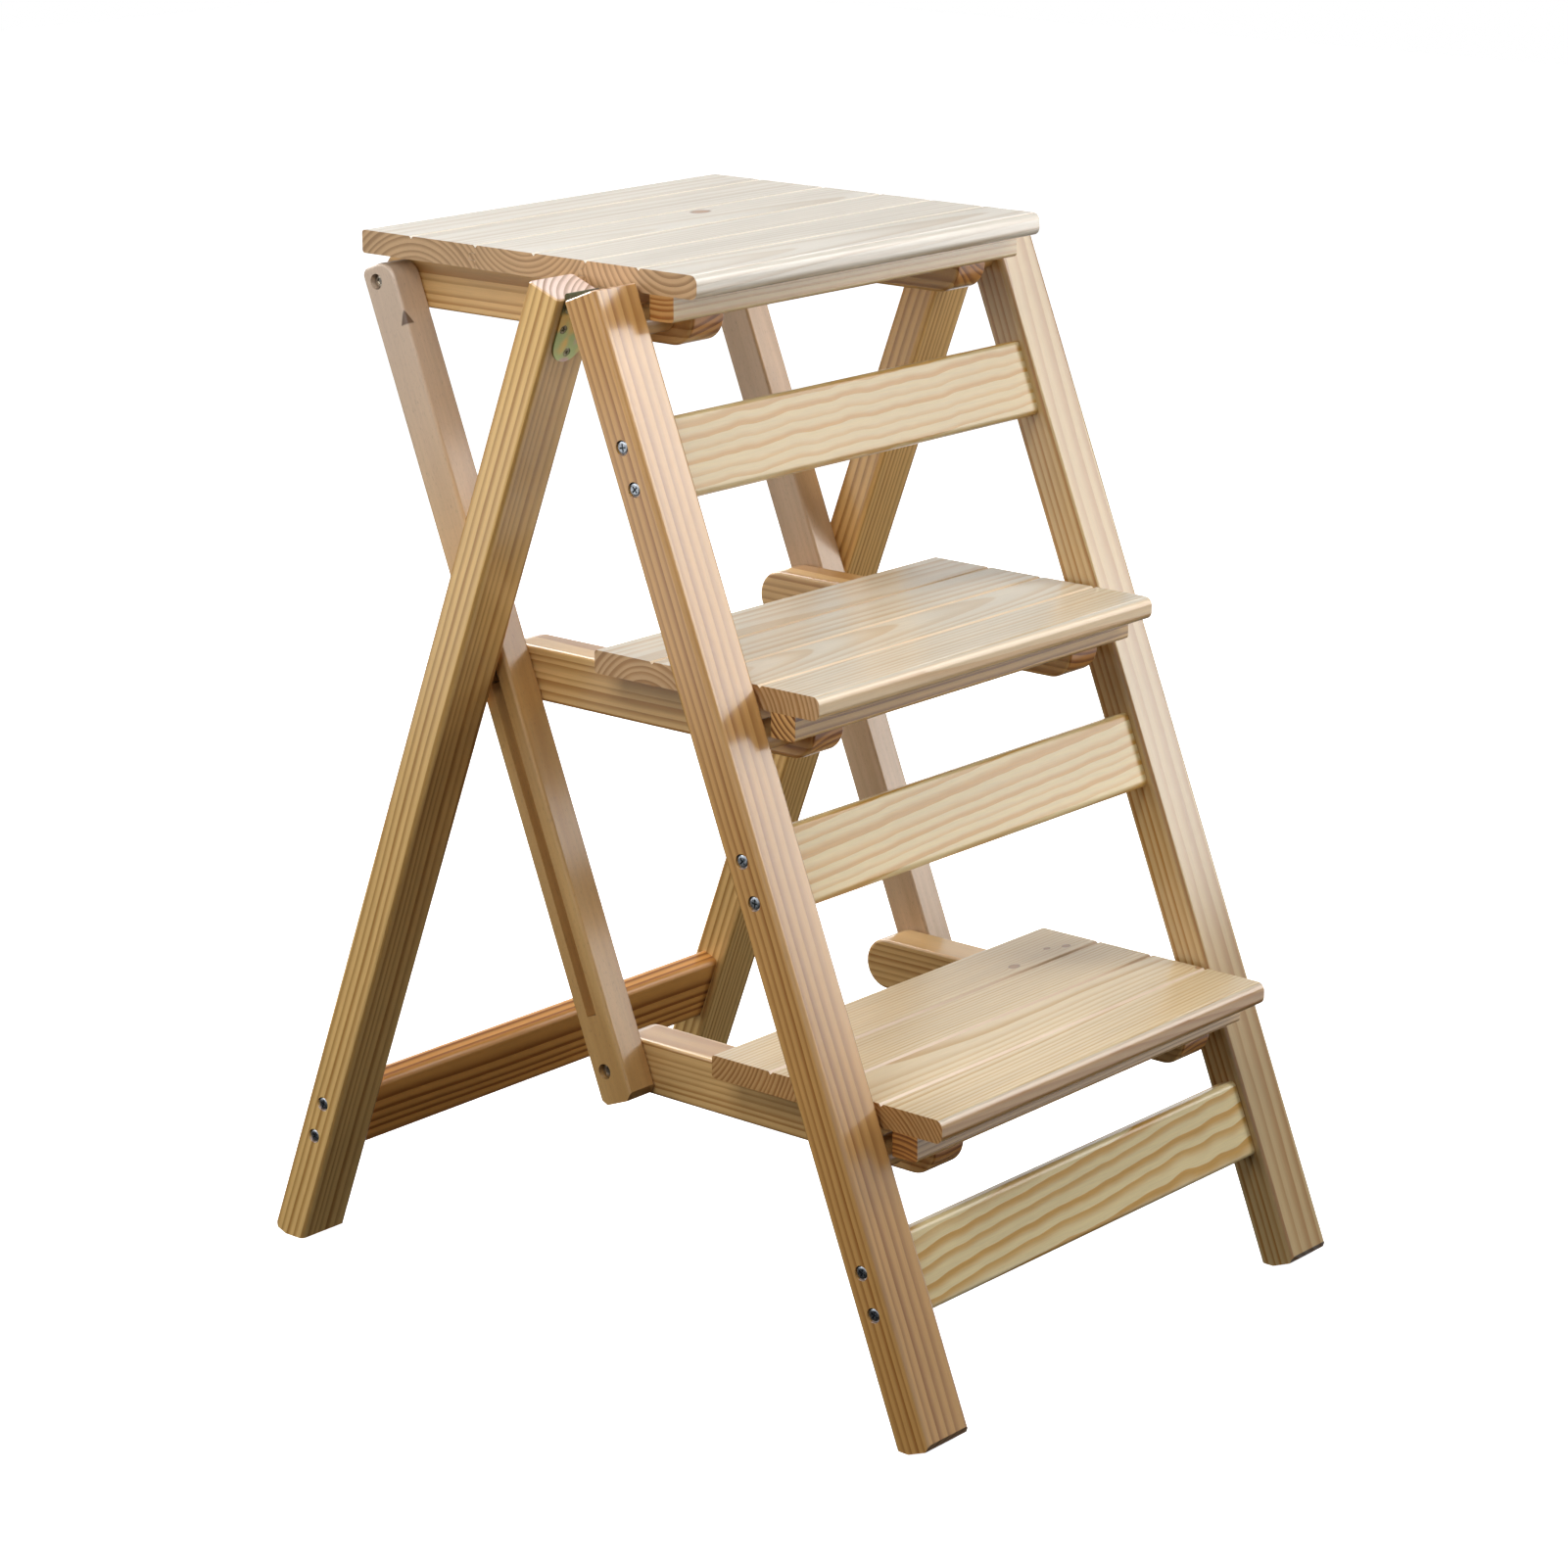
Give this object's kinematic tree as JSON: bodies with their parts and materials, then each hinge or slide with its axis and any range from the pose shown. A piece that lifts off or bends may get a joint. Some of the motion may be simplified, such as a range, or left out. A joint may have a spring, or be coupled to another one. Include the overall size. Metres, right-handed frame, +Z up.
{
  "type": "folding step stool chair",
  "caption": "Wooden folding step stool: splayed hinged leg frames carry steps of tongued boards that fold up together on link bars, with a wide top to sit or stand on.",
  "frame": {"origin": "on the floor, under the middle of the standing stool's overall box", "axes": "+Z up, -Y the side the steps face, +X to the right seen from the front"},
  "size_m": [0.3976, 0.5285, 0.64],
  "materials": {
    "leg_pine": "planed pine, clear lacquer",
    "rail_pine": "planed pine, clear lacquer",
    "board_pine": "planed pine, clear lacquer",
    "bearer_pine": "planed pine, clear lacquer",
    "link_beech": "planed beech, clear lacquer",
    "sleeve_beech": "turned beech",
    "steel": "zinc plated",
    "yellow_zinc": "yellow passivated zinc plate"
  },
  "bodies": {
    "front_frame": {"front_frame_screws": "steel", "front_leg_left": "leg_pine", "front_leg_right": "leg_pine", "front_rail_lower": "rail_pine", "front_rail_middle": "rail_pine", "front_rail_upper": "rail_pine", "hinge_leaf_front_left": "yellow_zinc", "hinge_leaf_front_right": "yellow_zinc", "hinge_pins": "yellow_zinc", "hinge_screws_front": "steel", "pivot_sleeves": "sleeve_beech", "step_pivot_pins": "steel"},
    "rear_frame": {"guide_studs": "steel", "hinge_leaf_rear_left": "yellow_zinc", "hinge_leaf_rear_right": "yellow_zinc", "hinge_screws_rear": "steel", "rear_frame_screws": "steel", "rear_leg_left": "leg_pine", "rear_leg_right": "leg_pine", "rear_rail": "rail_pine"},
    "top_step": {"top_batten": "bearer_pine", "top_bearer_left": "bearer_pine", "top_bearer_right": "bearer_pine", "top_board_front": "board_pine", "top_board_middle": "board_pine", "top_board_rear": "board_pine", "top_step_screws": "steel"},
    "middle_step": {"middle_batten": "bearer_pine", "middle_bearer_left": "bearer_pine", "middle_bearer_right": "bearer_pine", "middle_board_front": "board_pine", "middle_board_rear": "board_pine", "middle_step_screws": "steel"},
    "bottom_step": {"bottom_batten": "bearer_pine", "bottom_bearer_left": "bearer_pine", "bottom_bearer_right": "bearer_pine", "bottom_board_front": "board_pine", "bottom_board_rear": "board_pine", "bottom_step_screws": "steel"},
    "link_bars": {"bottom_link_bolts": "steel", "link_bar_left": "link_beech", "link_bar_right": "link_beech", "middle_link_bolts": "steel", "top_link_bolts": "steel"}
  },
  "joints": [
    {"name": "top_step_fold", "type": "hinge", "parent": "front_frame", "child": "top_step", "pos_m": [0, -0.01388, 0.6095], "axis": [1, 0, 0], "range_deg": [0, 58]},
    {"name": "middle_step_fold", "type": "hinge", "parent": "front_frame", "child": "middle_step", "pos_m": [0, -0.10385, 0.38108], "axis": [1, 0, 0], "range_deg": [0, 58]},
    {"name": "bottom_step_fold", "type": "hinge", "parent": "front_frame", "child": "bottom_step", "pos_m": [0, -0.19383, 0.15266], "axis": [1, 0, 0], "range_deg": [0, 58]},
    {"name": "link_bar_pivot", "type": "hinge", "parent": "top_step", "child": "link_bars", "pos_m": [0, 0.19662, 0.6095], "axis": [1, 0, 0], "range_deg": [-58, 0]},
    {"name": "leg_hinge", "type": "hinge", "parent": "front_frame", "child": "rear_frame", "pos_m": [0, 0.00698, 0.62522], "axis": [1, 0, 0], "range_deg": [-40, 0]}
  ],
  "couplings": [
    {"joint": "middle_step_fold", "follows": "top_step_fold", "ratio": 1},
    {"joint": "bottom_step_fold", "follows": "top_step_fold", "ratio": 1},
    {"joint": "link_bar_pivot", "follows": "top_step_fold", "ratio": -1},
    {"joint": "leg_hinge", "follows": "top_step_fold", "ratio": -0.688}
  ]
}
